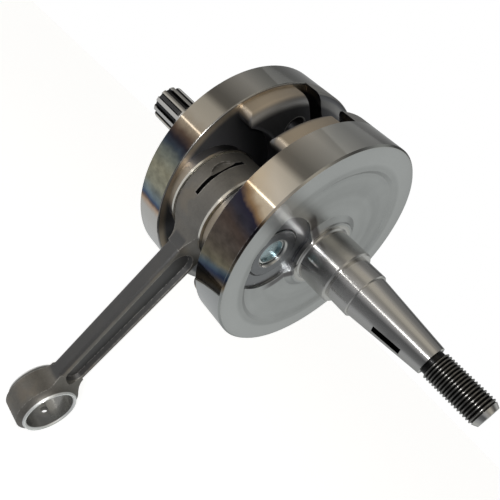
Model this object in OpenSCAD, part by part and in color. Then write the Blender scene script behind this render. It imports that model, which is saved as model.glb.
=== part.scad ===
// Built-up crankshaft of a small two-stroke engine, with its connecting rod.
// X is the shaft axis, towards the threaded magneto end. The origin is on that axis,
// in the middle plane of the rod. The rod hangs straight down from the crank pin.

/* [Layout] */
// Distance from the shaft axis to the crank pin, half the stroke
throw = 29; // [26:0.5:31]
// Angle of the crank pin from straight down, towards -Y
crank_angle = 64; // [0:1:180]

/* [Webs] */
// Outer diameter of both webs
web_d = 100; // [96:1:120]
// Thickness of the magneto web at its rim
web_magneto_t = 16.2; // [13:0.1:20]
// Thickness of the drive web at its rim
web_drive_t = 14.3; // [12:0.1:20]
// Gap between the two rims
rim_gap = 28.2; // [24:0.1:34]
// Width of the flat band round each outer face
band_w = 10.8; // [6:0.1:14]
// Depth of the dish inside the flat band
dish_depth = 0.9; // [0.3:0.1:2]
// Chamfer of the rim's outer edge
rim_chamfer = 0.7; // [0.2:0.1:1.5]
// Radius of the hub round each main journal
hub_r = 16; // [14:0.1:19]
// Height of the hub above the rim's outer face
hub_h = 1; // [0.5:0.1:2]

/* [Pin seat in the webs] */
// Clearance round the rod's big end inside the counterweights
big_end_room = 11; // [9.5:0.1:13]
// Radius of the boss that backs each thrust washer
boss_r = 19; // [16:0.1:19.4]
// Radius of the shallow pocket round the pin's end
pin_pocket_r = 17.2; // [14:0.1:19]
// Depth of that pocket below the flat band
pin_pocket_depth = 1.9; // [1.2:0.1:3]

/* [Counterweights] */
// Clearance between each counterweight and the rod's shank
swing_gap = 1.5; // [0.8:0.1:3]
// Step down from the rim to the balance pads
pad_step = 1.5; // [0.8:0.1:3]
// Radius of the pads' outer edge
pad_round = 3.6; // [1:0.1:5]
// Radius of the counterweights' outer edge
weight_round = 2.6; // [1:0.1:4]
// Angle of each relief slot's wall from the crank pin
slot_angle = 134; // [120:1:145]
// Distance from the shaft axis to the slot's inner wall
slot_inner = 26.6; // [22:0.1:30]
// Width of the relief slots
slot_w = 5.7; // [3:0.1:7]
// Length of the relief slots inside the rim
slot_length = 24; // [16:0.5:28]
// Diameter of the balance holes
balance_d = 10; // [6:0.1:12]
// Distance from the shaft axis to the balance holes
balance_r = 35.3; // [32:0.1:38]
// Angle of the balance holes from the crank pin
balance_angle = 76; // [72:1:84]
// Depth of the balance holes
balance_depth = 13; // [6:0.5:16]

/* [Magneto shaft] */
// Diameter of the main journals
journal_d = 25; // [22:0.5:28]
// Length of each main journal
journal_length = 15; // [12:0.1:20]
// Diameter of the seal journal
seal_d = 20.8; // [20:0.1:21.6]
// Length of the seal journal
seal_length = 10.5; // [6:0.1:16]
// Large diameter of the rotor taper
taper_d = 19.2; // [18:0.1:20]
// Length of the rotor taper
taper_length = 33; // [26:0.5:40]
// Length over which the taper loses one unit of diameter
taper_ratio = 5; // [5:0.5:10]
// Width of the relief groove behind the thread
relief_w = 1.5; // [1:0.1:3]
// Outer diameter of the thread
thread_d = 12; // [10:0.1:12]
// Pitch of the thread
thread_pitch = 1.25; // [1:0.05:1.75]
// Number of thread ridges
thread_turns = 17; // [10:1:20]
// Length of the chamfered tip
tip_length = 2.2; // [1:0.1:3]
// Width of the keyway
key_w = 3; // [2:0.1:4]
// Length of the keyway at the taper's surface
key_length = 12.6; // [9:0.1:16]
// Depth of the keyway
key_depth = 2.2; // [1:0.1:3]
// Distance from the taper's large end to the keyway
key_start = 11.6; // [8:0.1:14]
// Angle of the keyway from the crank pin
key_angle = 27; // [-180:1:180]

/* [Drive shaft] */
// Diameter of the collar outside the main journal
collar_d = 22; // [20:0.1:24]
// Length of the collar
collar_length = 7.5; // [4:0.1:12]
// Outer diameter of the splined end
spline_d = 18.6; // [17:0.1:19.6]
// Length of plain shaft before the splines
plain_length = 15; // [8:0.1:24]
// Length of the splines
spline_length = 20.5; // [12:0.1:28]
// Number of splines
spline_count = 12; // [8:1:16]
// Depth of the spline grooves
spline_depth = 1.5; // [0.8:0.1:2]

/* [Crank pin] */
// Diameter of the crank pin
pin_d = 22; // [20:0.1:23]
// Diameter of the bore through the pin
pin_bore_d = 12; // [8:0.1:14]
// How far the pin stands above the floor of each pocket
pin_proud = 0.5; // [0.1:0.1:1]
// Depth of each cup plug below the pin's end
plug_recess = 1.2; // [0.5:0.1:3]
// Length of each cup plug
plug_length = 5; // [3:0.1:8]
// Wall of the cup plugs
plug_wall = 0.9; // [0.5:0.1:1.5]
// Depth of the hollow of the cup plugs
plug_hollow = 1.1; // [0.5:0.1:3]

/* [Big-end bearing] */
// Diameter of the rollers
roller_d = 2.98; // [2.5:0.01:3.2]
// Length of the rollers
roller_length = 11.8; // [9:0.1:13]
// Number of rollers
roller_count = 15; // [11:1:15]
// Running clearance of a roller against each race
race_clear = 0.025; // [0.01:0.005:0.05]
// Clearance of a roller in its cage window
window_clear = 0.1; // [0.05:0.01:0.2]
// Length of the cage
cage_length = 15.6; // [14:0.1:16.4]
// Gap between the cage and each race
cage_gap = 0.35; // [0.3:0.05:0.6]
// Thickness of the thrust washers
washer_t = 1; // [0.6:0.1:1.5]
// Outer diameter of the thrust washers
washer_d = 40; // [36:0.1:41]
// Radial clearance of the thrust washers on the pin
washer_clear = 0.05; // [0.02:0.01:0.1]
// Side play on each face of a thrust washer
side_play = 0.1; // [0.05:0.01:0.3]

/* [Connecting rod] */
// Distance between the centres of the two ends
rod_length = 112; // [100:1:125]
// Width of the big end along the pin
big_w = 17; // [16.5:0.1:20]
// Outer radius of the big end
big_r = 19.4; // [18:0.1:20.5]
// Width of the small end
small_w = 16.3; // [13:0.1:18]
// Outer radius of the small end
small_r = 13.5; // [12.5:0.1:16]
// Bore of the small end
small_bore_d = 20; // [18:0.1:21]
// Chamfer of the small end's bore
small_chamfer = 0.8; // [0.3:0.1:1.2]
// Thickness of the shank
shank_t = 7.6; // [6:0.1:9]
// Width of the shank at the big end
shank_big_w = 17.4; // [15:0.1:20]
// Width of the shank at the small end
shank_small_w = 14; // [12:0.1:17]
// Radius along the shank's edges
shank_round = 1.7; // [0.5:0.1:3]
// Width of the flange on each side of the grooves
flange_w = 2.6; // [2:0.1:4.5]
// Depth of each groove
groove_depth = 2.2; // [1:0.1:2.6]
// How far the grooves' walls lean in between the shank's face and the groove's floor
groove_draft = 0.9; // [0.3:0.1:2]
// Width of the oil slot in the big end
oil_slot_w = 1.8; // [1:0.1:2.5]
// Distance of the oil slot from the rod's middle plane
oil_slot_x = -1.2; // [-4:0.1:4]
// Diameter of the two oil holes in the small end
oil_hole_d = 3; // [2:0.1:4]
// Angle of each small-end oil hole from straight down
oil_hole_angle = 45; // [20:1:60]

/* [Hidden] */
$fn = 96;
overlap = 1;
turn = 360;

function roller_name(i) = str("roller_", i < 10 ? "0" : "", i);

// Crank pin and bearing
pin_y = -throw * sin(crank_angle);
pin_z = -throw * cos(crank_angle);
pin_r = pin_d / 2;
roller_r = roller_d / 2;
pitch_r = pin_r + race_clear + roller_r;
big_bore_r = pitch_r + roller_r + race_clear;

// Places along the shaft axis
rim_x = rim_gap / 2;
boss_x = big_w / 2 + washer_t + 2 * side_play;
weight_x = shank_t / 2 + swing_gap;
// Slots and pockets are cut this far, which is inside the web's disc
floor_x = rim_x + overlap / 2;
// Each shaft starts here, inside its web
root_x = rim_x + 3 * overlap;
web_r = web_d / 2;
journal_r = journal_d / 2;

// How far below an end of radius r its blend meets a shank of width w
function neck_of(r, blend, w) = sqrt(pow(r + blend - 0.05, 2) - pow(w / 2 + blend, 2));

// Blends of the rod: radius in the outline and radius down to the shank
big_blend = 14;
big_drop = 8;
small_blend = 9;
small_drop = 7;
big_neck = neck_of(big_r, big_blend, shank_big_w);
small_neck = neck_of(small_r, small_blend, shank_small_w);

// ---- Helpers ----

// A cylinder along X
module bar(x0, x1, r) {
    translate([x0, 0, 0]) rotate([0, 90, 0]) cylinder(h = x1 - x0, r = r);
}

// A profile of [radius, x] points turned about the X axis
module turned(points) {
    rotate([0, 90, 0]) rotate_extrude() polygon(points);
}

// A flat plate of thickness t in the YZ plane, centred on x = 0
module plate(t) {
    translate([-t / 2, 0, 0]) rotate([90, 0, 90]) linear_extrude(t) children();
}

module at_pin() {
    translate([0, pin_y, pin_z]) children();
}

// Turns a web, which is drawn with its pin straight down, to the crank angle
module to_crank_angle() {
    rotate([-crank_angle, 0, 0]) children();
}

// Places children at both sides of the pin, with -Z pointing at that angle from it
module both_sides(angle) {
    for (side = [-1, 1]) rotate([side * angle, 0, 0]) children();
}

// ---- Webs, drawn for x > 0 with the pin straight down ----

module web_disc(thick) {
    outer = rim_x + thick;
    dish = outer - dish_depth;
    band_r = web_r - band_w;
    turned([
        [0, rim_x],
        [web_r - 0.3, rim_x],
        [web_r, rim_x + 0.3],
        [web_r, outer - rim_chamfer],
        [web_r - rim_chamfer, outer],
        [band_r, outer],
        [band_r - 1.6, dish],
        [hub_r + 2.4, dish],
        [hub_r, outer + hub_h - 0.5],
        [hub_r - 0.5, outer + hub_h],
        [0, outer + hub_h]
    ]);
}

// A disc from the counterweight's face to the web, with a rounded outer edge
module inner_disc(r, round_r) {
    rotate([0, 90, 0]) rotate_extrude() union() {
        translate([0, weight_x]) square([r - round_r, rim_x + overlap - weight_x]);
        translate([0, weight_x + round_r]) square([r, rim_x + overlap - weight_x - round_r]);
        intersection() {
            translate([r - round_r, weight_x + round_r]) circle(round_r);
            square([r, rim_x]);
        }
    }
}

// Room for the rod's big end, with a rounded mouth
pocket_r = big_r + big_end_room;

module big_end_pocket() {
    mouth = 2.2;
    translate([0, 0, -throw]) rotate([0, 90, 0]) rotate_extrude() difference() {
        square([pocket_r + mouth, floor_x]);
        translate([pocket_r, weight_x + mouth]) square([mouth + overlap, rim_x]);
        translate([pocket_r + mouth, weight_x + mouth]) circle(mouth);
    }
}

// Takes the sharp corner off each pad where the pocket breaks through its outer edge
module pad_corners() {
    reach = web_r - pad_step - pad_round + 0.05;
    span = pocket_r + pad_round - 0.05;
    down = (pow(reach, 2) - pow(span, 2) + pow(throw, 2)) / (2 * throw);
    side = sqrt(pow(reach, 2) - pow(down, 2));
    out = throw / reach;
    back = throw / span;
    for (s = [-1, 1]) scale([1, s, 1]) difference() {
        translate([weight_x - overlap, 0, 0]) rotate([90, 0, 90]) linear_extrude(floor_x - weight_x + overlap)
            polygon([
                [side, -down],
                [side * (1 + out), -down * (1 + out)],
                [side * (1 + out - back), -down * (1 + out) - (throw - down) * back],
                [side * (1 - back), -down - (throw - down) * back]
            ]);
        translate([0, side, -down]) bar(0, floor_x + overlap, pad_round);
    }
}

// Distance from the shaft axis to the middle of each relief slot
chord = slot_inner + slot_w / 2;

module relief_slots() {
    reach = sqrt(pow(web_r, 2) - pow(chord, 2));
    for (side = [-1, 1]) rotate([side * slot_angle, 0, 0]) {
        from = side > 0 ? -(reach + web_r / 4) : reach - slot_length;
        size = slot_length + web_r / 4;
        translate([weight_x - overlap, from, -chord - slot_w / 2])
            cube([floor_x - weight_x + overlap, size, slot_w]);
        translate([0, -side * (reach - slot_length), -chord]) bar(weight_x - overlap, floor_x, slot_w / 2);
    }
}

module counterweight() {
    intersection() {
        inner_disc(web_r, weight_round);
        union() {
            both_sides(slot_angle) translate([0, -web_r, -web_r - chord])
                cube([rim_x + 2 * overlap, web_d, web_r]);
        }
    }
}

// The counterweight and balance pads, standing on the web's inner side
module raised_side() {
    difference() {
        union() {
            inner_disc(web_r - pad_step, pad_round);
            counterweight();
        }
        relief_slots();
        big_end_pocket();
        pad_corners();
    }
}

module balance_holes() {
    both_sides(balance_angle) translate([0, 0, -balance_r])
        bar(weight_x - overlap, weight_x + balance_depth, balance_d / 2);
}

// The shallow pocket round the pin's end, kept inside the flat band
module pin_pocket(thick) {
    outer = rim_x + thick;
    pocket_x = outer - pin_pocket_depth;
    difference() {
        intersection() {
            translate([0, 0, -throw]) bar(pocket_x, outer + 3, pin_pocket_r);
            bar(pocket_x - overlap, outer + 4, web_r - band_w - 0.2);
        }
        bar(pocket_x - 2 * overlap, outer + 5, journal_r + 0.8);
    }
}

module web(thick) {
    difference() {
        union() {
            difference() {
                union() {
                    web_disc(thick);
                    raised_side();
                }
                balance_holes();
            }
            translate([0, 0, -throw]) turned([
                [0, boss_x], [boss_r - 0.5, boss_x], [boss_r, boss_x + 0.5],
                [boss_r, rim_x + overlap], [0, rim_x + overlap]
            ]);
        }
        pin_pocket(thick);
        translate([0, 0, -throw]) bar(0, rim_x + thick + 5, pin_r);
    }
}

// ---- Magneto side ----

hub_top_m = rim_x + web_magneto_t + hub_h;
seal_x = hub_top_m + journal_length;
taper_x = seal_x + seal_length;
taper_end = taper_x + taper_length;
taper_end_r = (taper_d - taper_length / taper_ratio) / 2;
thread_x = taper_end + 0.3 + relief_w;
thread_end = thread_x + thread_turns * thread_pitch;
thread_r = thread_d / 2;
thread_root_r = thread_r - 0.6 * thread_pitch;

// One ridge of the thread starting at x
function ridge(x) = [
    [thread_root_r, x],
    [thread_r, x + 0.42 * thread_pitch],
    [thread_r, x + 0.58 * thread_pitch]
];

module magneto_shaft() {
    turned(concat(
        [[0, root_x], [journal_r + 1.2, root_x], [journal_r + 1.2, hub_top_m - 0.5]],
        [[journal_r, hub_top_m + 0.5]],
        [[journal_r, seal_x - 0.6], [journal_r - 0.6, seal_x], [seal_d / 2, seal_x]],
        [[seal_d / 2, taper_x - 0.4], [seal_d / 2 - 0.4, taper_x], [taper_d / 2, taper_x]],
        [[taper_end_r, taper_end], [thread_root_r - 0.2, taper_end + 0.3], [thread_root_r - 0.2, thread_x]],
        [for (i = [0:thread_turns - 1]) each ridge(thread_x + i * thread_pitch)],
        [[thread_root_r, thread_end], [thread_r - 0.3, thread_end + 0.3]],
        [[thread_r - 1.3, thread_end + tip_length], [0, thread_end + tip_length]]
    ));
}

// Keyway with straight walls and rounded ends, cut along the taper's slope
module keyway() {
    slope = atan(0.5 / taper_ratio);
    surface_r = taper_d / 2 - key_start / (2 * taper_ratio);
    rotate([key_angle - crank_angle, 0, 0])
        translate([taper_x + key_start, 0, -surface_r])
            rotate([0, -slope, 0]) translate([0, -key_w / 2, -overlap * 2])
                cube([key_length, key_w, key_depth + 2 * overlap]);
}

module magneto_half() {
    color("silver") difference() {
        union() {
            to_crank_angle() web(web_magneto_t);
            magneto_shaft();
        }
        keyway();
    }
}

// ---- Drive side, drawn for x > 0 and mirrored ----

hub_top_d = rim_x + web_drive_t + hub_h;
collar_x = hub_top_d + journal_length;
plain_x = collar_x + collar_length;
spline_x = plain_x + plain_length;
spline_end = spline_x + spline_length;
spline_r = spline_d / 2;

module drive_shaft() {
    turned([
        [0, root_x], [journal_r + 1.2, root_x], [journal_r + 1.2, hub_top_d - 0.5],
        [journal_r, hub_top_d + 0.5],
        [journal_r, collar_x - 0.6], [journal_r - 0.6, collar_x], [collar_d / 2, collar_x],
        [collar_d / 2, plain_x - 0.5], [collar_d / 2 - 0.5, plain_x], [spline_r, plain_x],
        [spline_r, spline_end - 1], [spline_r - 1, spline_end], [0, spline_end]
    ]);
}

// One groove between two splines, with a sloping run-out at its inner end
module spline_groove() {
    floor_r = spline_r - spline_depth;
    pitch_w = turn / 2 * spline_d / (spline_count * 57.3);
    half_top = pitch_w * 0.3;
    half_floor = pitch_w * 0.19;
    run_out = 4;
    intersection() {
        translate([spline_x, 0, 0]) rotate([90, 0, 90]) linear_extrude(spline_length + overlap)
            polygon([
                [-half_floor, floor_r], [half_floor, floor_r],
                [half_top + 0.3, spline_r + 0.6], [-half_top - 0.3, spline_r + 0.6]
            ]);
        translate([0, spline_r / 2, 0]) rotate([90, 0, 0]) linear_extrude(spline_r)
            polygon([
                [spline_x, spline_r + overlap], [spline_x, spline_r], [spline_x + run_out, floor_r - 0.01],
                [spline_end + overlap, floor_r - 0.01], [spline_end + overlap, spline_r + overlap]
            ]);
    }
}

module drive_half() {
    color("darkgray") mirror([1, 0, 0]) difference() {
        union() {
            to_crank_angle() web(web_drive_t);
            drive_shaft();
        }
        for (i = [0:spline_count - 1]) rotate([i * turn / spline_count, 0, 0]) spline_groove();
    }
}

// ---- Crank pin and plugs ----

pin_end_m = rim_x + web_magneto_t - pin_pocket_depth + pin_proud;
pin_end_d = rim_x + web_drive_t - pin_pocket_depth + pin_proud;

module crank_pin() {
    edge = 0.6;
    bore_r = pin_bore_d / 2;
    color("slategray") at_pin() turned([
        [bore_r, -pin_end_d + edge], [bore_r + edge, -pin_end_d], [pin_r - edge, -pin_end_d],
        [pin_r, -pin_end_d + edge], [pin_r, pin_end_m - edge], [pin_r - edge, pin_end_m],
        [bore_r + edge, pin_end_m], [bore_r, pin_end_m - edge]
    ]);
}

// A cup plug with its open end towards +X at x = 0
module cup_plug() {
    plug_r = pin_bore_d / 2;
    turned([
        [0, -plug_length], [plug_r - 0.5, -plug_length], [plug_r, 0.5 - plug_length],
        [plug_r, -0.2], [plug_r - 0.2, 0], [plug_r - plug_wall, 0],
        [plug_r - plug_wall - 0.1, -plug_hollow], [0, -plug_hollow]
    ]);
}

module pin_plug_magneto() {
    color("lightblue") at_pin() translate([pin_end_m - plug_recess, 0, 0]) cup_plug();
}

module pin_plug_drive() {
    color("lightblue") at_pin() translate([plug_recess - pin_end_d, 0, 0]) mirror([1, 0, 0]) cup_plug();
}

// ---- Big-end bearing ----

module needle_cage() {
    inner_r = pin_r + cage_gap;
    outer_r = big_bore_r - cage_gap;
    window = [roller_length + 2 * window_clear, roller_d + 2 * window_clear, outer_r];
    color("gold") at_pin() difference() {
        bar(-cage_length / 2, cage_length / 2, outer_r);
        bar(-cage_length, cage_length, inner_r);
        for (i = [1:roller_count]) rotate([i * turn / roller_count, 0, 0])
            translate([-window[0] / 2, -window[1] / 2, pin_r / 2]) cube(window);
    }
}

module roller(i) {
    half = roller_length / 2;
    color("gainsboro") at_pin() rotate([i * turn / roller_count, 0, 0]) translate([0, 0, pitch_r])
        turned([
            [0, -half], [roller_r - 0.2, -half], [roller_r, 0.2 - half],
            [roller_r, half - 0.2], [roller_r - 0.2, half], [0, half]
        ]);
}

module thrust_washer() {
    difference() {
        bar(0, washer_t, washer_d / 2);
        bar(-overlap, washer_t + overlap, pin_r + washer_clear);
    }
}

module thrust_washer_magneto() {
    color("peru") at_pin() translate([big_w / 2 + side_play, 0, 0]) thrust_washer();
}

module thrust_washer_drive() {
    color("peru") at_pin() translate([-big_w / 2 - side_play - washer_t, 0, 0]) thrust_washer();
}

// ---- Connecting rod, drawn with its big end at the origin ----

// Outline that flows from an end of the rod into the shank, which leaves it downwards
module neck_outline(blend, half_w, neck) {
    side = half_w + blend;
    difference() {
        polygon([[-side, -neck], [0, 0], [side, -neck]]);
        for (s = [-side, side]) translate([s, -neck]) circle(blend);
    }
}

// A round end of the rod and its blend down to the shank's thickness
module rod_end(r, width, blend, drop, half_w, neck) {
    foot = neck + 2;
    intersection() {
        union() {
            bar(-width / 2, width / 2, r);
            plate(width) neck_outline(blend, half_w, neck);
            translate([-width / 2, -half_w, -foot - 1]) cube([width, 2 * half_w, foot + 1 - neck]);
        }
        rotate([0, 90, 0]) rotate_extrude() difference() {
            translate([0, -width / 2]) square([foot, width]);
            for (s = [-1, 1]) translate([foot, s * (shank_t / 2 + drop)]) circle(drop);
        }
    }
}

// A thin slice of the shank at height z, with rounded corners
module shank_slice(z, half_w) {
    in_t = shank_t / 2 - shank_round;
    in_w = half_w - shank_round;
    for (x = [-in_t, in_t], y = [-in_w, in_w])
        translate([x, y, z]) cylinder(h = 0.01, r = shank_round, $fn = 32);
}

module shank() {
    hull() {
        shank_slice(-big_neck, shank_big_w / 2);
        shank_slice(small_neck - rod_length, shank_small_w / 2);
    }
}

// The body that cuts the groove on the +X side, with round ends and leaning walls
module groove() {
    half_top = shank_big_w / 2 - flange_w;
    half_bottom = shank_small_w / 2 - flange_w;
    lean = groove_draft / groove_depth;
    above = 3 * overlap;
    ends = [[-big_neck - half_top, half_top], [small_neck - rod_length + half_bottom - 1.5, half_bottom]];
    hull() for (end = ends) translate([shank_t / 2 - groove_depth, 0, end[0]]) rotate([0, 90, 0])
        cylinder(h = groove_depth + above, r1 = end[1] - groove_draft, r2 = end[1] + lean * above, $fn = 48);
}

// Oil slot in the top of the big end, and the milled scallop beside it
module big_end_oil_slot() {
    slot_from = 34;
    slot_to = 102;
    scallop_angle = (slot_from + slot_to) / 2 - 7;
    scallop_r = 6.2;
    scallop_depth = 1.3;
    reach = 3 * big_r;
    translate([oil_slot_x, 0, 0]) plate(oil_slot_w) polygon([
        [0, 0],
        [-reach * sin(slot_from), reach * cos(slot_from)],
        [-reach * sin(slot_to), reach * cos(slot_to)]
    ]);
    intersection() {
        rotate([scallop_angle, 0, 0]) translate([oil_slot_x + 2.5, 0, big_r - scallop_depth])
            cylinder(h = 8, r = scallop_r);
        bar(oil_slot_x - 6, oil_slot_x, web_r);
    }
}

module connecting_rod() {
    bore_r = small_bore_d / 2;
    color("dimgray") at_pin() difference() {
        union() {
            rod_end(big_r, big_w, big_blend, big_drop, shank_big_w / 2, big_neck);
            shank();
            translate([0, 0, -rod_length]) mirror([0, 0, 1])
                rod_end(small_r, small_w, small_blend, small_drop, shank_small_w / 2, small_neck);
        }
        groove();
        mirror([1, 0, 0]) groove();
        bar(-big_w, big_w, big_bore_r);
        translate([0, 0, -rod_length]) bar(-small_w, small_w, bore_r);
        translate([0, 0, -rod_length]) for (s = [-1, 1]) rotate([0, s * 90, 0])
            translate([0, 0, small_w / 2 - small_chamfer])
                cylinder(h = small_chamfer + 0.01, r1 = bore_r, r2 = bore_r + small_chamfer);
        for (s = [-1, 1]) translate([0, 0, -rod_length]) rotate([s * oil_hole_angle, 0, 0])
            translate([0, 0, -small_r - overlap]) cylinder(h = small_r, d = oil_hole_d);
        big_end_oil_slot();
    }
}

// ---- Output ----

magneto_half();
drive_half();
crank_pin();
pin_plug_magneto();
pin_plug_drive();
connecting_rod();
thrust_washer_magneto();
thrust_washer_drive();
needle_cage();
for (i = [1:roller_count]) {
    roller(i);
}
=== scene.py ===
"""Looks, light and camera for the built-up crankshaft. Metres, in the CAD's frame."""

import math

import bpy
from mathutils import Matrix, Vector


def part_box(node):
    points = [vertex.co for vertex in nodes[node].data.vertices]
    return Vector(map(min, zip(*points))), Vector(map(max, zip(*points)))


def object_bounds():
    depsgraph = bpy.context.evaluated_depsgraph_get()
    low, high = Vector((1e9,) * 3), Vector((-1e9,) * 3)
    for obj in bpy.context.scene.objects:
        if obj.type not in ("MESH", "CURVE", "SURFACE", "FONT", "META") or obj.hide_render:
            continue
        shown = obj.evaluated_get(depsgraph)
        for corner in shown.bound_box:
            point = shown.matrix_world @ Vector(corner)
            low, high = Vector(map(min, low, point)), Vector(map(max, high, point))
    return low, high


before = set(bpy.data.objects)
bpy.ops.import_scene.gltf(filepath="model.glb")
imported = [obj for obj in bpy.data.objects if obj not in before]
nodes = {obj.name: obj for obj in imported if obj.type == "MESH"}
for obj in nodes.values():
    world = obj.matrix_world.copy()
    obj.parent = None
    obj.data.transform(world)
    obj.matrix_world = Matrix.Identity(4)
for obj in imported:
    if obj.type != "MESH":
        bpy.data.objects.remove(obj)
cad_box = [list(corner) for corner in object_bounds()]
MM = 0.001
QUARTER_TURN = 0.25

# The crank pin's place, as the CAD has it, in millimetres
low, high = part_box("crank_pin")
PIN_Y = (low.y + high.y) / 2 / MM
PIN_Z = (low.z + high.z) / 2 / MM
PIN_END = high.x / MM
THROW = math.hypot(PIN_Y, PIN_Z)
PIN_ALONG = (0, PIN_Y / THROW, PIN_Z / THROW)
PIN_ACROSS = (0, -PIN_Z / THROW, PIN_Y / THROW)
PIN_R = 11

# The webs: radii, and the distance of their faces from the middle plane of the rod
WEB_R = 50
PAD_R = 48.5
SEAT_R = 17.2
HUB_R = 16
JOURNAL_R = 12.5
BALANCE_HOLE_R = 5
PAD_FACE = 5.3
RIM_FACE = 14.1
MAGNETO_FACE = 30.3
DRIVE_FACE = 28.4


# ---- Node helpers: a socket wrapper that builds math nodes from Python operators ----

class Value:
    def __init__(self, tree, socket):
        self.tree = tree
        self.socket = socket

    def math(self, operation, *others):
        node = self.tree.nodes.new("ShaderNodeMath")
        node.operation = operation
        for i, item in enumerate((self,) + others):
            if isinstance(item, Value):
                self.tree.links.new(item.socket, node.inputs[i])
            else:
                node.inputs[i].default_value = item
        return Value(self.tree, node.outputs[0])

    def __add__(self, other):
        return self.math("ADD", other)

    def __sub__(self, other):
        return self.math("SUBTRACT", other)

    def __mul__(self, other):
        return self.math("MULTIPLY", other)

    def __rsub__(self, other):
        return (self * -1.0) + other

    __radd__ = __add__
    __rmul__ = __mul__

    def step(self, start, end):
        """0 below start, 1 above end, smooth between; start may be the larger"""
        node = self.tree.nodes.new("ShaderNodeMapRange")
        node.interpolation_type = "SMOOTHSTEP"
        if start < end:
            node.inputs["From Min"].default_value = start
            node.inputs["From Max"].default_value = end
        else:
            node.inputs["From Min"].default_value = end
            node.inputs["From Max"].default_value = start
            node.inputs["To Min"].default_value = 1.0
            node.inputs["To Max"].default_value = 0.0
        self.tree.links.new(self.socket, node.inputs["Value"])
        return Value(self.tree, node.outputs["Result"])

    def band(self, start, end, soft):
        """1 between start and end, 0 outside"""
        return self.step(start - soft, start + soft) * self.step(end + soft, end - soft)


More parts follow.
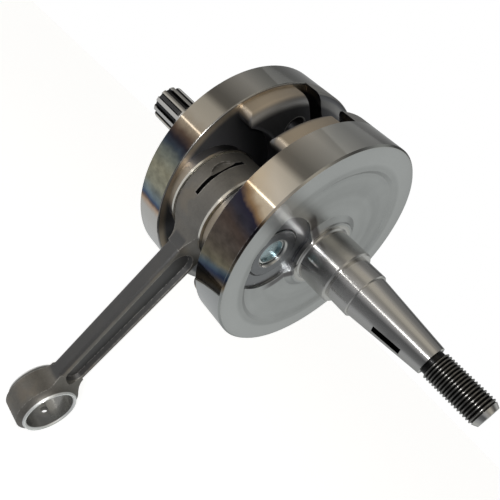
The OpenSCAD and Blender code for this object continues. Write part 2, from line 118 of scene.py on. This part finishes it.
class Surface:
    """One material under construction, with the object's own coordinates in millimetres"""

    def __init__(self, name, base, metallic=1.0, anisotropic=0.0):
        self.material = bpy.data.materials.new(name)
        self.material.use_nodes = True
        self.tree = self.material.node_tree
        self.shader = self.tree.nodes["Principled BSDF"]
        self.shader.inputs["Metallic"].default_value = metallic
        if anisotropic:
            self.shader.inputs["Anisotropic"].default_value = anisotropic
            self.shader.inputs["Anisotropic Rotation"].default_value = QUARTER_TURN
            tangent = self.tree.nodes.new("ShaderNodeTangent")
            tangent.direction_type = "RADIAL"
            tangent.axis = "X"
            self.tree.links.new(tangent.outputs[0], self.shader.inputs["Tangent"])
        coords = self.tree.nodes.new("ShaderNodeTexCoord")
        scaled = self.tree.nodes.new("ShaderNodeVectorMath")
        scaled.operation = "SCALE"
        scaled.inputs["Scale"].default_value = 1 / MM
        self.tree.links.new(coords.outputs["Object"], scaled.inputs[0])
        self.place = scaled.outputs[0]
        split = self.tree.nodes.new("ShaderNodeSeparateXYZ")
        self.tree.links.new(self.place, split.inputs[0])
        self.x, self.y, self.z = (Value(self.tree, out) for out in split.outputs)
        self.color = self.constant(base)
        self.rough = None

    def constant(self, rgb):
        node = self.tree.nodes.new("ShaderNodeRGB")
        node.outputs[0].default_value = (*rgb, 1)
        return node.outputs[0]

    def dot(self, vector, point=(0, 0, 0)):
        parts = zip((self.x, self.y, self.z), vector, point)
        terms = [(axis - at) * share for axis, share, at in parts if share]
        total = terms[0]
        for term in terms[1:]:
            total = total + term
        return total

    def radius(self, y=0.0, z=0.0):
        dy = self.y - y
        dz = self.z - z
        return (dy * dy + dz * dz).math("SQRT")

    def noise(self, scale, detail=3.0, roughness=0.55, stretch=(1, 1, 1), offset=0.0):
        """Noise with about `scale` features per millimetre"""
        mapping = self.tree.nodes.new("ShaderNodeMapping")
        mapping.inputs["Scale"].default_value = tuple(scale * s for s in stretch)
        mapping.inputs["Location"].default_value = (offset, offset * 0.7, offset * 1.3)
        self.tree.links.new(self.place, mapping.inputs[0])
        node = self.tree.nodes.new("ShaderNodeTexNoise")
        node.inputs["Scale"].default_value = 1.0
        node.inputs["Detail"].default_value = detail
        node.inputs["Roughness"].default_value = roughness
        self.tree.links.new(mapping.outputs[0], node.inputs["Vector"])
        return Value(self.tree, node.outputs["Fac"])

    def noise_of(self, x, y, z, scale, detail=3.0):
        """Noise on made-up coordinates, such as radius and angle"""
        node = self.tree.nodes.new("ShaderNodeCombineXYZ")
        for i, item in enumerate((x, y, z)):
            if isinstance(item, Value):
                self.tree.links.new(item.socket, node.inputs[i])
            else:
                node.inputs[i].default_value = item
        noise = self.tree.nodes.new("ShaderNodeTexNoise")
        noise.inputs["Scale"].default_value = scale
        noise.inputs["Detail"].default_value = detail
        self.tree.links.new(node.outputs[0], noise.inputs["Vector"])
        return Value(self.tree, noise.outputs["Fac"])

    def paint(self, rgb, amount):
        """Lays a colour, given as numbers or a socket, over what is there"""
        node = self.tree.nodes.new("ShaderNodeMix")
        node.data_type = "RGBA"
        self.tree.links.new(amount.socket, node.inputs["Factor"])
        self.tree.links.new(self.color, node.inputs["A"])
        if isinstance(rgb, tuple):
            node.inputs["B"].default_value = (*rgb, 1)
        else:
            self.tree.links.new(rgb, node.inputs["B"])
        self.color = node.outputs["Result"]

    def shade(self, amount):
        """Multiplies the colour by a grey value"""
        grey = self.tree.nodes.new("ShaderNodeCombineColor")
        for i in range(3):
            self.tree.links.new(amount.socket, grey.inputs[i])
        node = self.tree.nodes.new("ShaderNodeMix")
        node.data_type = "RGBA"
        node.blend_type = "MULTIPLY"
        node.inputs["Factor"].default_value = 1.0
        self.tree.links.new(self.color, node.inputs["A"])
        self.tree.links.new(grey.outputs[0], node.inputs["B"])
        self.color = node.outputs["Result"]

    def ramp(self, value, low_end, high_end, stops):
        """A colour ramp over value from low_end to high_end; stops are (value, colour)"""
        node = self.tree.nodes.new("ShaderNodeValToRGB")
        elements = node.color_ramp.elements
        span = high_end - low_end
        for i, (at, rgb) in enumerate(stops):
            spot = (at - low_end) / span
            element = elements[i] if i < 2 else elements.new(spot)
            element.position = spot
            element.color = (*rgb, 1)
        scaled = (value - low_end) * (1 / span)
        self.tree.links.new(scaled.socket, node.inputs["Fac"])
        return node.outputs["Color"]

    def roughen(self, value, amount=None):
        """Sets the roughness, or blends towards it by amount"""
        if amount is None:
            self.rough = value
        else:
            self.rough = self.rough + (value - self.rough) * amount

    def bump(self, height, depth_mm):
        node = self.tree.nodes.new("ShaderNodeBump")
        node.inputs["Strength"].default_value = 1.0
        node.inputs["Distance"].default_value = depth_mm * MM
        self.tree.links.new(height.socket, node.inputs["Height"])
        self.tree.links.new(node.outputs[0], self.shader.inputs["Normal"])

    def edges(self, radius_mm):
        """1 along sharp edges and 0 elsewhere, from how far a bevel would turn the normal"""
        bevel = self.tree.nodes.new("ShaderNodeBevel")
        bevel.samples = 6
        bevel.inputs["Radius"].default_value = radius_mm * MM
        geometry = self.tree.nodes.new("ShaderNodeNewGeometry")
        node = self.tree.nodes.new("ShaderNodeVectorMath")
        node.operation = "DOT_PRODUCT"
        self.tree.links.new(bevel.outputs[0], node.inputs[0])
        self.tree.links.new(geometry.outputs["Normal"], node.inputs[1])
        return Value(self.tree, node.outputs["Value"]).step(0.995, 0.93)

    def done(self):
        self.tree.links.new(self.color, self.shader.inputs["Base Color"])
        self.tree.links.new(self.rough.socket, self.shader.inputs["Roughness"])
        return self.material


def give(name, material):
    obj = nodes[name]
    obj.data.materials.clear()
    obj.data.materials.append(material)


# ---- Colours (linear) ----

GROUND = (0.50, 0.49, 0.465)
FACE = (0.46, 0.47, 0.465)
POLISHED = (0.60, 0.59, 0.57)
TAN = (0.56, 0.48, 0.38)
BLACK = (0.012, 0.012, 0.013)
BRIGHT = (0.72, 0.71, 0.68)

DRIVE_TINT = [
    (-62, (0.38, 0.38, 0.365)), (-44, (0.42, 0.405, 0.375)), (-30, (0.40, 0.37, 0.325)),
    (-24, (0.34, 0.28, 0.21)), (-20.5, (0.11, 0.075, 0.055)), (-16.5, (0.022, 0.020, 0.028)),
    (-13, (0.05, 0.065, 0.085)), (-9, (0.19, 0.205, 0.175)), (-2, (0.30, 0.285, 0.205)),
    (6, (0.30, 0.295, 0.225)), (11, (0.20, 0.25, 0.27)), (14.2, (0.045, 0.085, 0.17)),
    (15.8, (0.20, 0.13, 0.10)), (17.4, (0.58, 0.42, 0.30)), (20, (0.60, 0.58, 0.54)),
    (60, (0.56, 0.57, 0.56)),
]
MAGNETO_TINT = [
    (-62, (0.44, 0.44, 0.42)), (-46, (0.52, 0.50, 0.46)), (-33, (0.62, 0.57, 0.50)),
    (-24, (0.60, 0.50, 0.37)), (-20.5, (0.30, 0.19, 0.10)), (-17.6, (0.028, 0.026, 0.045)),
    (-13.5, (0.040, 0.038, 0.050)), (-9, (0.085, 0.062, 0.052)), (-2, (0.095, 0.078, 0.066)),
    (4, (0.125, 0.105, 0.08)), (8.5, (0.20, 0.18, 0.125)), (11.5, (0.075, 0.11, 0.14)),
    (14.2, (0.025, 0.04, 0.085)), (17, (0.06, 0.05, 0.045)), (20.5, (0.26, 0.20, 0.13)),
    (25, (0.42, 0.43, 0.42)), (60, (0.50, 0.52, 0.51)),
]


# ---- Webs with their shafts ----

# The balance holes: angle from the pin and distance from the shaft's axis
BALANCE_ANGLE = math.radians(76)
BALANCE_R = 35.3


def paint_outer_face(s, face, r, angle, marks):
    """Turned steel, a little cloudy, with fine concentric marks and a lighter flat band"""
    cloud = s.noise(0.09, detail=4)
    s.paint(FACE, face)
    s.shade((cloud - 0.5) * 0.22 + (marks - 0.5) * 0.16 + 1.0)
    slow = s.noise_of(r, angle * 0.02, 0.0, 0.16, detail=2)
    s.shade((slow - 0.5) * face * 0.35 + 1.0)
    s.paint((0.60, 0.61, 0.605), face * r.band(WEB_R - 8.5, WEB_R - 0.8, 1.0) * 0.6)


def paint_heat(s, rim_mask, angle, along, tint, slant):
    """Heat tint round the pin on the rim; slant narrows it towards the outer face, and its edge wanders"""
    middle = -3.0
    wander = (s.noise(0.22, detail=3, offset=3) - 0.5) * 3.4
    heat_angle = (angle - middle) * ((along - 22.0) * slant + 1.0) + middle + wander
    s.paint(s.ramp(heat_angle, -90, 90, tint), rim_mask)
    scale = s.noise_of(angle * 0.5, along * 0.35, 0.0, 0.55, detail=5)
    s.shade((scale - 0.5) * rim_mask * angle.band(-16, 16, 5) * 1.5 + 1.0)


def paint_pin_seat(s, face, shaft, r, along, outer):
    """The dark seat round the pin on the outer face, and a tinted ring on its side towards the shaft"""
    pin_r = s.radius(PIN_Y, PIN_Z)
    seat = pin_r.step(SEAT_R + 0.1, SEAT_R - 0.1) * along.step(outer - 0.9, outer - 1.2)
    seat = seat * face.math("MAXIMUM", along.step(outer - 3, outer - 2.6))
    s.paint((0.25, 0.255, 0.265), seat * (1.0 - shaft))
    ring = pin_r.band(SEAT_R + 0.3, SEAT_R + 3.4, 0.7) * face * r.step(30, 24)
    s.paint((0.07, 0.058, 0.062), ring * 0.8)
    seam = pin_r.band(PIN_R, PIN_R + 0.28, 0.05) * along.step(outer - 3, outer - 2.5)
    s.paint(BLACK, seam)


def paint_inner_side(s, inside, r, along):
    """Painted shade darkening the inner side between the webs, tan outer walls of the pads, and painted
    highlights on the round edges and on the rims of the balance holes
    """
    # Painted shade: the inner side is darkened where the two webs face each other
    s.paint((0.17, 0.17, 0.18), inside)
    wall = inside * r.step(PAD_R - 3.0, PAD_R - 0.7) * along.step(PAD_FACE + 0.6, PAD_FACE + 3.1)
    s.paint(TAN, wall * r.step(PAD_R + 0.9, PAD_R + 0.5))
    # Painted highlight: the round edge of each pad is lightened as if it catches the light
    edge = inside * r.band(PAD_R - 3.5, PAD_R - 0.9, 0.8) * along.step(PAD_FACE + 2.9, PAD_FACE + 0.9)
    s.paint((0.46, 0.45, 0.44), edge * 0.85)
    s.paint(GROUND, inside * r.step(PAD_R + 0.7, PAD_R + 1.1))
    # Painted highlight: a bright ring laid round the rim of each balance hole
    for turn in (-BALANCE_ANGLE, BALANCE_ANGLE):
        cos_turn = math.cos(turn)
        sin_turn = math.sin(turn)
        y = (PIN_ALONG[1] * cos_turn - PIN_ALONG[2] * sin_turn) * BALANCE_R
        z = (PIN_ALONG[1] * sin_turn + PIN_ALONG[2] * cos_turn) * BALANCE_R
        rim = s.radius(y, z).band(BALANCE_HOLE_R - 0.1, BALANCE_HOLE_R + 0.5, 0.15)
        s.paint(BRIGHT, inside * rim * along.step(PAD_FACE + 1.1, PAD_FACE + 0.7) * 0.8)


def web_half(name, side, outer, tint, slant):
    """side is +1 or -1 along X; outer is the web's outer face, in millimetres from the middle plane"""
    s = Surface(name, GROUND, anisotropic=0.72)
    along = s.x * float(side)
    r = s.radius()
    angle = s.dot(PIN_ACROSS).math("ARCTAN2", s.dot(PIN_ALONG)) * (180 / math.pi)
    fine = s.noise(0.9, detail=4, offset=7)
    marks = s.noise_of(along, r, 0.0, 5.5, detail=4)

    rim_mask = r.step(WEB_R - 1.0, WEB_R - 0.65) * along.step(RIM_FACE - 0.4, RIM_FACE - 0.1)
    rim_mask = rim_mask * along.step(outer + 0.3, outer)
    face = along.step(outer - 2.4, outer - 2.2) * (1.0 - rim_mask) * r.step(HUB_R - 1.6, HUB_R - 1.1)
    inside = along.step(RIM_FACE + 0.25, RIM_FACE + 0.05)
    shaft = along.step(outer + 0.8, outer + 1.2)

    paint_outer_face(s, face, r, angle, marks)
    paint_heat(s, rim_mask, angle, along, tint, slant)
    paint_pin_seat(s, face, shaft, r, along, outer)
    paint_inner_side(s, inside, r, along)
    s.paint(POLISHED, shaft * r.step(JOURNAL_R + 1.7, JOURNAL_R + 1.1))

    # Rim and shaft are ground smoothest, the inner side is roughest
    s.roughen(fine * 0.08 + marks * 0.08 + 0.10)
    s.roughen(fine * 0.05 + marks * 0.06 + 0.04, rim_mask)
    s.roughen(marks * 0.08 + 0.15, shaft)
    s.roughen(fine * 0.12 + 0.30, face * 0.7)
    s.roughen(fine * 0.15 + 0.34, inside)
    grain = s.noise_of(along, r, 0.0, 9.0, detail=3)
    s.bump(grain + fine * 0.4, 0.005)

    # Bright wear along the edges, patchy
    worn = s.edges(0.35) * s.noise(0.5, detail=2, offset=11).step(0.35, 0.6)
    s.paint(BRIGHT, worn * (1.0 - inside * 0.6) * 0.55)
    return s, along, r


# The magneto side's taper and thread, in millimetres along the shaft
TAPER_START = 56.8
TAPER_END = 89.8
TAPER_START_R = 9.6
TAPER_SLOPE = 0.1
THREAD_END = 112.85
THREAD_R = 6

s, along, r = web_half("magneto_steel", 1, MAGNETO_FACE, MAGNETO_TINT, 0.025)
taper_r = (along - TAPER_START) * -TAPER_SLOPE + TAPER_START_R
below = (taper_r - r) * along.band(TAPER_START + 1, TAPER_END - 1, 0.2)
# Painted shade: the keyway below the taper is painted black
key = below.step(0.12, 0.3)
s.paint(BLACK, key)
threaded = along.band(TAPER_END + 0.2, THREAD_END, 0.05)
s.paint((0.28, 0.275, 0.26), threaded)
# Painted shade: the roots of the thread are painted nearly black
s.paint((0.03, 0.03, 0.03), threaded * r.step(THREAD_R - 0.15, THREAD_R - 0.55))
s.roughen(0.5, key)
s.roughen(0.32, threaded)
give("magneto_half", s.done())

# The drive side's splines, in millimetres along the shaft
SPLINE_START = 67.2
SPLINE_END = 87.4
SPLINE_ROOT_R = 8.9

s, along, r = web_half("drive_steel", -1, DRIVE_FACE, DRIVE_TINT, 0.0)
# Painted shade: the roots between the splines are painted nearly black
splined = along.step(SPLINE_START - 0.4, SPLINE_START + 0.4) * along.step(SPLINE_END - 0.1, SPLINE_END - 0.3)
s.paint((0.03, 0.03, 0.032), splined * r.step(SPLINE_ROOT_R + 0.15, SPLINE_ROOT_R - 0.15))
give("drive_half", s.done())


# ---- Crank pin and its plugs ----

PLUG_R = 6

s = Surface("pin_steel", (0.20, 0.205, 0.215), anisotropic=0.6)
pin_r = s.radius(PIN_Y, PIN_Z)
marks = s.noise_of(s.x, pin_r, 0.0, 6.0)
s.shade((marks - 0.5) * 0.4 + 1.0)
s.shade((s.noise(0.35, offset=5) - 0.5) * 0.35 + 1.0)
half = s.x.math("ABSOLUTE")
s.paint(BRIGHT, pin_r.step(PLUG_R + 0.9, PLUG_R + 0.4) * half.step(PIN_END - 1.0, PIN_END - 0.4) * 0.8)
# Painted highlight: the pin's edges are lightened
s.paint((0.45, 0.45, 0.45), s.edges(0.3) * 0.6)
s.paint(BLACK, pin_r.step(PIN_R - 0.34, PIN_R - 0.22) * half.step(PIN_END - 1.0, PIN_END - 0.7))
s.roughen(marks * 0.14 + 0.22)
s.bump(marks, 0.006)
give("crank_pin", s.done())

s = Surface("plug_zinc", (0.42, 0.52, 0.55), anisotropic=0.3)
pin_r = s.radius(PIN_Y, PIN_Z)
rings = s.noise_of(pin_r, 0.0, 0.0, 1.6)
s.shade((rings - 0.5) * 0.3 + 1.0)
s.shade((s.noise(0.6, offset=2) - 0.5) * 0.5 + 1.0)
s.paint((0.80, 0.82, 0.80), pin_r.band(PLUG_R - 0.9, PLUG_R, 0.1) * 0.9)
s.roughen(rings * 0.12 + 0.20)
s.bump(rings, 0.03)
zinc = s.done()
give("pin_plug_magneto", zinc)
give("pin_plug_drive", zinc)


# ---- Bearing pieces ----

s = Surface("washer_steel", (0.76, 0.73, 0.66), anisotropic=0.5)
marks = s.noise_of(s.x, s.radius(PIN_Y, PIN_Z), 0.0, 7.0)
s.shade((marks - 0.5) * 0.3 + 1.0)
s.shade((s.noise(0.3, offset=9) - 0.5) * 0.4 + 1.0)
s.paint(BRIGHT, s.edges(0.25) * 0.8)
s.roughen(marks * 0.12 + 0.16)
s.bump(marks, 0.005)
washer = s.done()
give("thrust_washer_magneto", washer)
give("thrust_washer_drive", washer)

s = Surface("cage_metal", (0.55, 0.48, 0.36))
s.shade((s.noise(0.8) - 0.5) * 0.3 + 1.0)
s.roughen(s.noise(1.5, offset=4) * 0.15 + 0.25)
s.bump(s.noise(2.5), 0.006)
give("needle_cage", s.done())

s = Surface("roller_steel", (0.68, 0.68, 0.67))
s.shade((s.noise(1.2) - 0.5) * 0.16 + 1.0)
s.roughen(s.noise(2.0, offset=4) * 0.06 + 0.08)
roller_steel = s.done()
for name in nodes:
    if name.startswith("roller_"):
        give(name, roller_steel)


# ---- Connecting rod ----

ROD_LENGTH = 112
SMALL_Z = PIN_Z - ROD_LENGTH
SHANK_HALF_T = 3.8
BIG_R = 19.4
BIG_BORE_R = 14.05
BIG_HALF_W = 8.5
SMALL_R = 13.5
SMALL_BORE_R = 10
SMALL_HALF_W = 8.15
OIL_SLOT_X = -1.2

s = Surface("rod_forging", (0.185, 0.176, 0.160), metallic=0.85)
big_r = s.radius(PIN_Y, PIN_Z)
small_r = s.radius(PIN_Y, SMALL_Z)
half = s.x.math("ABSOLUTE")
peen = s.noise(1.5, detail=5, roughness=0.65)
blotch = s.noise(0.10, detail=4, offset=6)
streak = s.noise(0.5, detail=3, stretch=(1, 1, 0.08), offset=8)
s.shade((peen - 0.5) * 0.55 + 1.0)
s.shade((blotch - 0.5) * 0.45 + 1.0)
s.shade((streak - 0.5) * 0.25 + 1.0)
s.paint((0.24, 0.205, 0.16), blotch.step(0.52, 0.7) * 0.5)
# Painted shade: the recessed groove along the shank is darkened
groove_shade = half.step(SHANK_HALF_T - 0.08, SHANK_HALF_T - 0.5) * s.z.band(SMALL_Z + 14, PIN_Z - 20, 1.0)
s.paint((0.085, 0.087, 0.092), groove_shade * 0.75)
worn = s.edges(0.7) * s.noise(0.6, detail=3, offset=12).step(0.38, 0.58)
s.paint((0.55, 0.53, 0.50), worn * 0.6)
small_side = half.step(SMALL_HALF_W - 0.2, SMALL_HALF_W - 0.05) * small_r.step(16, 14)
big_side = half.step(BIG_HALF_W - 0.2, BIG_HALF_W - 0.05) * big_r.step(21, 20)
small_bore = small_r.step(SMALL_BORE_R + 0.25, SMALL_BORE_R + 0.1)
big_bore = big_r.step(BIG_BORE_R + 0.25, BIG_BORE_R + 0.1)
ground = small_side.math("MAXIMUM", big_side).math("MAXIMUM", small_bore).math("MAXIMUM", big_bore)
s.paint((0.58, 0.58, 0.56), ground)
# Painted shade: the small end's bore is darker away from its lips
s.paint((0.36, 0.36, 0.35), small_bore * half.step(SMALL_HALF_W - 0.15, SMALL_HALF_W - 0.95))
ring = half.step(SMALL_HALF_W - 0.95, SMALL_HALF_W - 0.65)
ring = ring * small_r.band(SMALL_BORE_R + 0.15, SMALL_R - 0.15, 0.1)
s.paint((0.88, 0.89, 0.88), ring)
# Painted shade: the walls of the oil slot in the big end are painted black
slot = s.x.band(OIL_SLOT_X - 1, OIL_SLOT_X + 1, 0.1) * s.z.step(PIN_Z - 8, PIN_Z - 7)
slot = slot * big_r.band(BIG_BORE_R + 0.55, BIG_R - 0.3, 0.1)
s.paint(BLACK, slot)
s.roughen(peen * 0.22 + 0.38)
s.roughen(streak * 0.08 + 0.18, ground)
s.bump(peen * (1.0 - ground * 0.9), 0.05)
give("connecting_rod", s.done())


# ---- Stage: floor, light and camera ----

FLOOR_DROP = 0.004
floor_z = cad_box[0][2] - FLOOR_DROP
bpy.ops.mesh.primitive_plane_add(size=8, location=(0, 0, floor_z))
floor = bpy.context.object
floor.name = "floor"
paper = bpy.data.materials.new("paper")
paper.use_nodes = True
shader = paper.node_tree.nodes["Principled BSDF"]
shader.inputs["Base Color"].default_value = (0.86, 0.86, 0.86, 1)
shader.inputs["Roughness"].default_value = 0.9
shader.inputs["Specular IOR Level"].default_value = 0.1
shader.inputs["Emission Color"].default_value = (1, 1, 1, 1)
shader.inputs["Emission Strength"].default_value = 0.72
floor.data.materials.append(paper)
floor.visible_glossy = False


def softbox(name, place, target, size, power, tone=(1, 1, 1)):
    data = bpy.data.lights.new(name, "AREA")
    data.shape = "RECTANGLE"
    data.size, data.size_y = size
    data.energy = power
    data.color = tone
    obj = bpy.data.objects.new(name, data)
    obj.location = place
    obj.rotation_euler = (Vector(target) - Vector(place)).to_track_quat("-Z", "Y").to_euler()
    bpy.context.scene.collection.objects.link(obj)


CAMERA_PLACE = Vector((0.11998, -0.20439, -0.00228))
RIGHT = Vector((0.5737, 0.42834, 0.69814))
DOWN = Vector((0.66467, 0.25461, -0.70241))
FORWARD = Vector((-0.47862, 0.86701, -0.13863))

softbox("ring_flash", CAMERA_PLACE - FORWARD * 0.06, (0.02, 0, 0), (0.012, 0.012), 0.3)
softbox("top_soft", (-0.10, 0.10, 0.60), (0, 0, 0), (0.6, 0.6), 0.15)

# World: white to the camera. What the steel reflects is a studio that changes with the angle round
# the shaft: a bright table below, dark room, and a warm wall beside the camera.
world = bpy.data.worlds.new("studio")
bpy.context.scene.world = world
world.use_nodes = True
tree = world.node_tree
tree.nodes.clear()
coords = tree.nodes.new("ShaderNodeTexCoord")


def direction_share(vector):
    node = tree.nodes.new("ShaderNodeVectorMath")
    node.operation = "DOT_PRODUCT"
    tree.links.new(coords.outputs["Generated"], node.inputs[0])
    node.inputs[1].default_value = vector
    return Value(tree, node.outputs["Value"])


def world_mix(a, b, amount):
    node = tree.nodes.new("ShaderNodeMix")
    node.data_type = "RGBA"
    tree.links.new(amount.socket, node.inputs["Factor"])
    for name, item in (("A", a), ("B", b)):
        if isinstance(item, tuple):
            node.inputs[name].default_value = (*item, 1)
        else:
            tree.links.new(item, node.inputs[name])
    return node.outputs["Result"]


# Degrees round the shaft from the camera's side, positive towards the table
STUDIO = [
    (-180, (0.36, 0.37, 0.36)), (-158, (0.27, 0.275, 0.275)), (-145, (0.145, 0.147, 0.147)),
    (-130, (0.055, 0.057, 0.058)), (-110, (0.068, 0.068, 0.068)), (-92, (0.115, 0.112, 0.106)),
    (-76, (0.30, 0.285, 0.26)), (-66, (0.54, 0.51, 0.45)), (-50, (0.54, 0.51, 0.445)),
    (-34, (0.32, 0.305, 0.28)), (-14, (0.40, 0.39, 0.375)), (14, (0.33, 0.33, 0.34)),
    (30, (0.115, 0.118, 0.122)), (54, (0.155, 0.159, 0.165)), (70, (0.21, 0.214, 0.22)),
    (84, (0.38, 0.39, 0.40)), (100, (0.43, 0.44, 0.45)), (135, (0.38, 0.39, 0.39)),
    (152, (0.33, 0.34, 0.34)), (180, (0.36, 0.37, 0.36)),
]
# The same for what the webs' rims mirror, further towards the drive end
STUDIO_LEFT = [
    (-180, (0.42, 0.43, 0.42)), (-158, (0.32, 0.325, 0.325)), (-142, (0.26, 0.26, 0.26)),
    (-125, (0.20, 0.20, 0.20)), (-108, (0.165, 0.165, 0.16)), (-91, (0.28, 0.275, 0.26)),
    (-73, (0.46, 0.44, 0.41)), (-62, (0.36, 0.345, 0.32)), (-44, (0.18, 0.173, 0.16)),
    (-36, (0.19, 0.18, 0.165)), (-28, (0.64, 0.61, 0.55)), (-12, (0.76, 0.73, 0.67)),
    (6, (0.70, 0.69, 0.67)), (30, (0.66, 0.66, 0.66)), (60, (0.62, 0.625, 0.63)),
    (90, (0.54, 0.55, 0.56)), (125, (0.58, 0.59, 0.60)), (180, (0.42, 0.43, 0.42)),
]
camera_side = Vector((0, CAMERA_PLACE.y, CAMERA_PLACE.z)).normalized()
table_side = Vector((0, camera_side.z, -camera_side.y)) * -1
azimuth = direction_share(table_side).math("ARCTAN2", direction_share(camera_side)) * (0.5 / math.pi) + 0.5


def studio_rows(stops):
    rows = tree.nodes.new("ShaderNodeValToRGB")
    tree.links.new(azimuth.socket, rows.inputs["Fac"])
    for i, (degrees, rgb) in enumerate(stops):
        spot = degrees / 360 + 0.5
        element = rows.color_ramp.elements[i] if i < 2 else rows.color_ramp.elements.new(spot)
        element.position = spot
        element.color = (*rgb, 1)
    return rows.outputs["Color"]


along_shaft = direction_share((1, 0, 0))
rows = world_mix(studio_rows(STUDIO), studio_rows(STUDIO_LEFT), along_shaft.step(-0.38, -0.48))
behind = (azimuth - 0.5).math("ABSOLUTE").step(95 / 360, 130 / 360)
room = world_mix(rows, (0.56, 0.575, 0.565), along_shaft.step(0.10, 0.40) * behind)
paths = tree.nodes.new("ShaderNodeLightPath")
seen = Value(tree, paths.outputs["Is Camera Ray"])
shown = world_mix(room, (1.0, 1.0, 1.0), seen)
background = tree.nodes.new("ShaderNodeBackground")
# A narrow strip light in line with the camera, which draws the bright line along rims and shaft
STRIP_HALF = 0.7 / 360
STRIP_SOFT = 0.3 / 360
STRIP_POWER = 15.0
strip = azimuth.band(0.5 - STRIP_HALF, 0.5 + STRIP_HALF, STRIP_SOFT) * along_shaft.step(0.1, -0.05)
strip = strip * (along_shaft.step(-0.5, -0.2) * 0.7 + 0.3)
strength = strip * (1.0 - seen) * STRIP_POWER + 1.0
tree.links.new(strength.socket, background.inputs["Strength"])
tree.links.new(shown, background.inputs["Color"])
output = tree.nodes.new("ShaderNodeOutputWorld")
tree.links.new(background.outputs[0], output.inputs["Surface"])

camera_data = bpy.data.cameras.new("camera")
camera_data.sensor_width = 36
camera_data.lens = 39.06
camera_data.shift_x = 0.045
camera_data.shift_y = 0.050
camera_data.clip_start = 0.01
camera_data.clip_end = 20
camera = bpy.data.objects.new("camera", camera_data)
bpy.context.scene.collection.objects.link(camera)
turn = Matrix((RIGHT, -DOWN, -FORWARD)).transposed().to_4x4()
camera.matrix_world = Matrix.Translation(CAMERA_PLACE) @ turn
bpy.context.scene.camera = camera
bpy.context.scene.view_settings.view_transform = "Standard"
